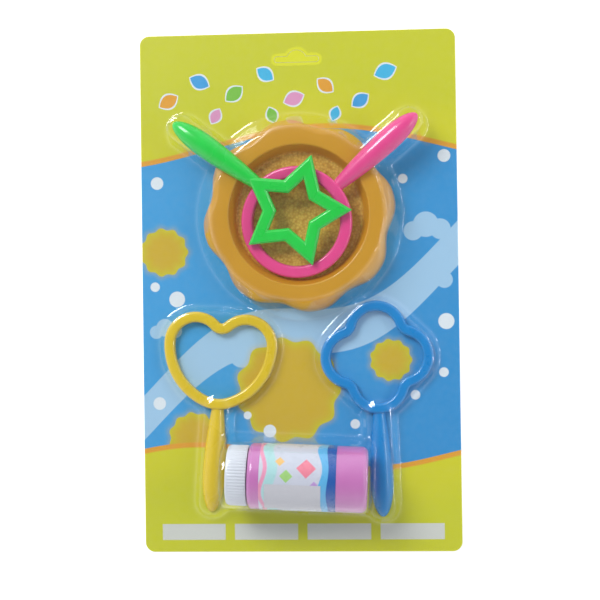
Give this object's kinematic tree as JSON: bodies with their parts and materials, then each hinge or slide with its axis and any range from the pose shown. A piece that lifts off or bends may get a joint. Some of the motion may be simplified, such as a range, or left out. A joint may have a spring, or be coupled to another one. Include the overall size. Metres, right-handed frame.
{
  "type": "carded bubble wand set",
  "caption": "Carded bubble wand set: a printed hang card under a clear formed blister that holds a scalloped dish, loop wands and a screw-capped bottle of bubble solution.",
  "frame": {"origin": "middle of the card's back face", "axes": "+Z out of the printed face, +Y to the edge with the hang slot, +X to the right of the face"},
  "size_m": [0.2, 0.328, 0.0428],
  "materials": {
    "card_print": "coated board printed in yellow and blue",
    "flap_board": "coated board",
    "clear_film": "clear formed film",
    "tray_plastic": "orange yellow moulded plastic",
    "pink_plastic": "pink moulded plastic",
    "green_plastic": "green moulded plastic",
    "yellow_plastic": "yellow moulded plastic",
    "blue_plastic": "blue moulded plastic",
    "bottle_plastic": "pink blown plastic",
    "solution": "watery liquid",
    "label_paper": "gloss printed wrap label",
    "sticker_paper": "white paper",
    "liner_foam": "white foam",
    "cap_plastic": "white moulded plastic"
  },
  "bodies": {
    "card": {"backing_card": "card_print"},
    "hang_flap": {"hang_flap": "flap_board"},
    "blister": {"blister": "clear_film"},
    "tray": {"tray": "tray_plastic"},
    "ring_wand": {"ring_wand": "pink_plastic"},
    "star_wand": {"star_wand": "green_plastic"},
    "heart_wand": {"heart_wand": "yellow_plastic"},
    "flower_wand": {"flower_wand": "blue_plastic"},
    "bottle": {"bottle_body": "bottle_plastic", "bubble_solution": "solution", "bottle_label": "label_paper", "bottle_sticker": "sticker_paper"},
    "cap_carrier": {"cap_liner": "liner_foam"},
    "cap": {"bottle_cap": "cap_plastic"}
  },
  "joints": [
    {"name": "blister_lift", "type": "slide", "parent": "card", "child": "blister", "axis": [0, 0, 1], "range_m": [0, 0.2]},
    {"name": "tray_lift", "type": "slide", "parent": "card", "child": "tray", "axis": [0, 0, 1], "range_m": [0, 0.05]},
    {"name": "ring_wand_lift", "type": "slide", "parent": "card", "child": "ring_wand", "axis": [0, 0, 1], "range_m": [0, 0.1]},
    {"name": "star_wand_lift", "type": "slide", "parent": "card", "child": "star_wand", "axis": [0, 0, 1], "range_m": [0, 0.14]},
    {"name": "heart_wand_lift", "type": "slide", "parent": "card", "child": "heart_wand", "axis": [0, 0, 1], "range_m": [0, 0.1]},
    {"name": "flower_wand_lift", "type": "slide", "parent": "card", "child": "flower_wand", "axis": [0, 0, 1], "range_m": [0, 0.1]},
    {"name": "bottle_lift", "type": "slide", "parent": "card", "child": "bottle", "axis": [0, 0, 1], "range_m": [0, 0.08]},
    {"name": "cap_travel", "type": "slide", "parent": "bottle", "child": "cap_carrier", "axis": [-0.999, 0.0436, 0], "range_m": [0, 0.0025]},
    {"name": "cap_turn", "type": "hinge", "parent": "cap_carrier", "child": "cap", "pos_m": [0.04151, -0.11658, 0.02107], "axis": [-0.999, 0.0436, 0], "range_deg": [0, 360]},
    {"name": "hang_flap_fold", "type": "hinge", "parent": "card", "child": "hang_flap", "pos_m": [0, 0.1451, 0], "axis": [-1, 0, 0], "range_deg": [0, 90]}
  ],
  "couplings": [
    {"joint": "tray_lift", "follows": "blister_lift", "ratio": 0.25},
    {"joint": "ring_wand_lift", "follows": "blister_lift", "ratio": 0.5},
    {"joint": "star_wand_lift", "follows": "blister_lift", "ratio": 0.7},
    {"joint": "heart_wand_lift", "follows": "blister_lift", "ratio": 0.5},
    {"joint": "flower_wand_lift", "follows": "blister_lift", "ratio": 0.5},
    {"joint": "bottle_lift", "follows": "blister_lift", "ratio": 0.4},
    {"joint": "cap_travel", "follows": "cap_turn", "m_per_rad": 0.0003978}
  ]
}
